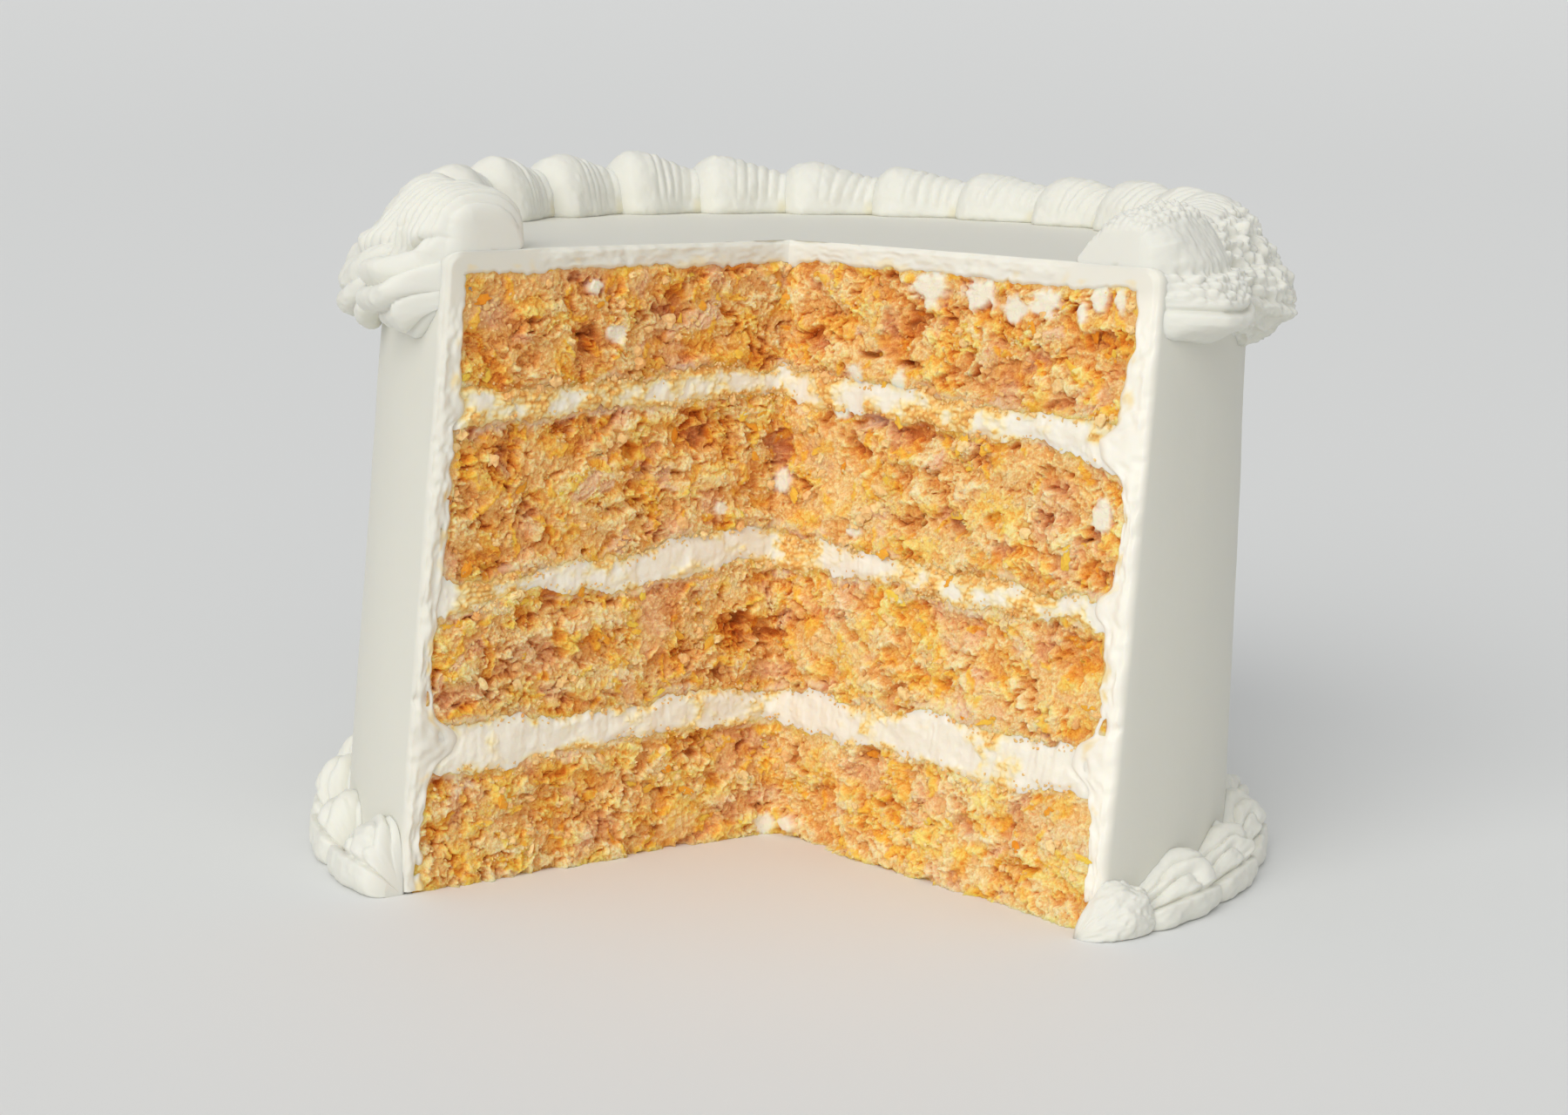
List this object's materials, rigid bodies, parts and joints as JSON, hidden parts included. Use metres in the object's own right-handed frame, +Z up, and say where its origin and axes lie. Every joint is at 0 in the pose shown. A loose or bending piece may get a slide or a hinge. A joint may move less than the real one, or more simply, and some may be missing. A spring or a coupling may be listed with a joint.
{
  "type": "dog cake",
  "caption": "Round white-iced layer cake for dogs with a wedge cut out: crumbly carrot sponge and cream layers show at the cut, with piped swirls on the rim and shells at the base.",
  "frame": {"origin": "on the cake's axis at its base, on the underside of the lowest sponge", "axes": "+Z up, the cut-out opens towards -Y, +X to the right of someone who looks into the cut-out"},
  "size_m": [0.1641, 0.1458, 0.113],
  "materials": {
    "sponge": "moist open crumb with carrot shreds, matte",
    "cream_filling": "soft ivory cream dragged by the knife, satin",
    "icing": "smooth white cream icing, matte",
    "piped_cream": "whipped white cream, soft satin"
  },
  "bodies": {
    "root": {"sponge_1": "sponge", "cream_1": "cream_filling", "sponge_2": "sponge", "cream_2": "cream_filling", "sponge_3": "sponge", "cream_3": "cream_filling", "sponge_4": "sponge", "icing_coat": "icing", "top_swirl_01": "piped_cream", "top_swirl_02": "piped_cream", "top_swirl_03": "piped_cream", "top_swirl_04": "piped_cream", "top_swirl_05": "piped_cream", "top_swirl_06": "piped_cream", "top_swirl_07": "piped_cream", "top_swirl_08": "piped_cream", "top_swirl_09": "piped_cream", "top_swirl_10": "piped_cream", "top_swirl_11": "piped_cream", "top_swirl_12": "piped_cream", "top_swirl_13": "piped_cream", "top_swirl_14": "piped_cream", "top_swirl_15": "piped_cream", "top_swirl_16": "piped_cream", "top_swirl_17": "piped_cream", "base_dab": "piped_cream", "base_shell_01": "piped_cream", "base_shell_02": "piped_cream", "base_shell_03": "piped_cream", "base_shell_04": "piped_cream", "base_shell_05": "piped_cream", "base_shell_06": "piped_cream", "base_shell_07": "piped_cream", "base_shell_08": "piped_cream", "base_shell_09": "piped_cream", "base_shell_10": "piped_cream", "base_shell_11": "piped_cream", "base_shell_12": "piped_cream", "base_shell_13": "piped_cream", "base_shell_14": "piped_cream", "base_shell_15": "piped_cream", "base_shell_16": "piped_cream", "base_shell_17": "piped_cream", "base_shell_18": "piped_cream", "base_shell_19": "piped_cream"}
  },
  "joints": []
}
